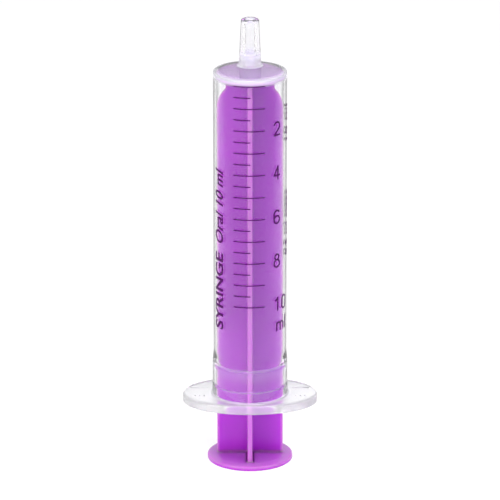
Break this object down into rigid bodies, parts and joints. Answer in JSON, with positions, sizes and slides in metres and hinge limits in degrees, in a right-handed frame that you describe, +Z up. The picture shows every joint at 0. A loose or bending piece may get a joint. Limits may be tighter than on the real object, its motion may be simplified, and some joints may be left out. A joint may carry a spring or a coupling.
{
  "type": "oral syringe",
  "caption": "Oral dosing syringe with a clear barrel, printed scale, tapered tip and oval finger flange, and a coloured ribbed plunger that slides and turns in it.",
  "frame": {"origin": "centre of the thumb disc's flat underside, on which the syringe stands", "axes": "+Z up the barrel's axis towards the nozzle's end; the printed scale faces -Y, and the nozzle stands 4.3 mm to the +Y side of the axis; the flange's ears point along +X and -X"},
  "size_m": [0.0314, 0.0206, 0.1053],
  "materials": {
    "clear_plastic": "Natural polypropylene with a faint milky haze, smooth and glossy, a little brighter along its moulded edges",
    "plunger_plastic": "Purple polyethylene, evenly dyed, satin to glossy, slightly translucent at thin edges",
    "scale_ink": "Dark printed ink film, near black with a violet tint, flat sheen"
  },
  "bodies": {
    "plunger": {"rod_ribs": "plunger_plastic", "thumb_disc": "plunger_plastic"},
    "piston": {"piston": "plunger_plastic"},
    "barrel": {"barrel_tube": "clear_plastic", "end_wall": "clear_plastic", "nozzle": "clear_plastic", "finger_flange": "clear_plastic", "one_ml_lines": "scale_ink", "half_ml_lines": "scale_ink", "unit_label": "scale_ink", "numeral_2": "scale_ink", "numeral_4": "scale_ink", "numeral_6": "scale_ink", "numeral_8": "scale_ink", "numeral_10": "scale_ink"}
  },
  "joints": [
    {"name": "plunger_turn", "type": "hinge", "parent": "plunger", "child": "piston", "pos_m": [0, 0, 0.09275], "axis": [0, 0, 1], "continuous": true},
    {"name": "plunger_draw", "type": "slide", "parent": "piston", "child": "barrel", "axis": [0, 0, 1], "range_m": [0, 0.068]}
  ]
}
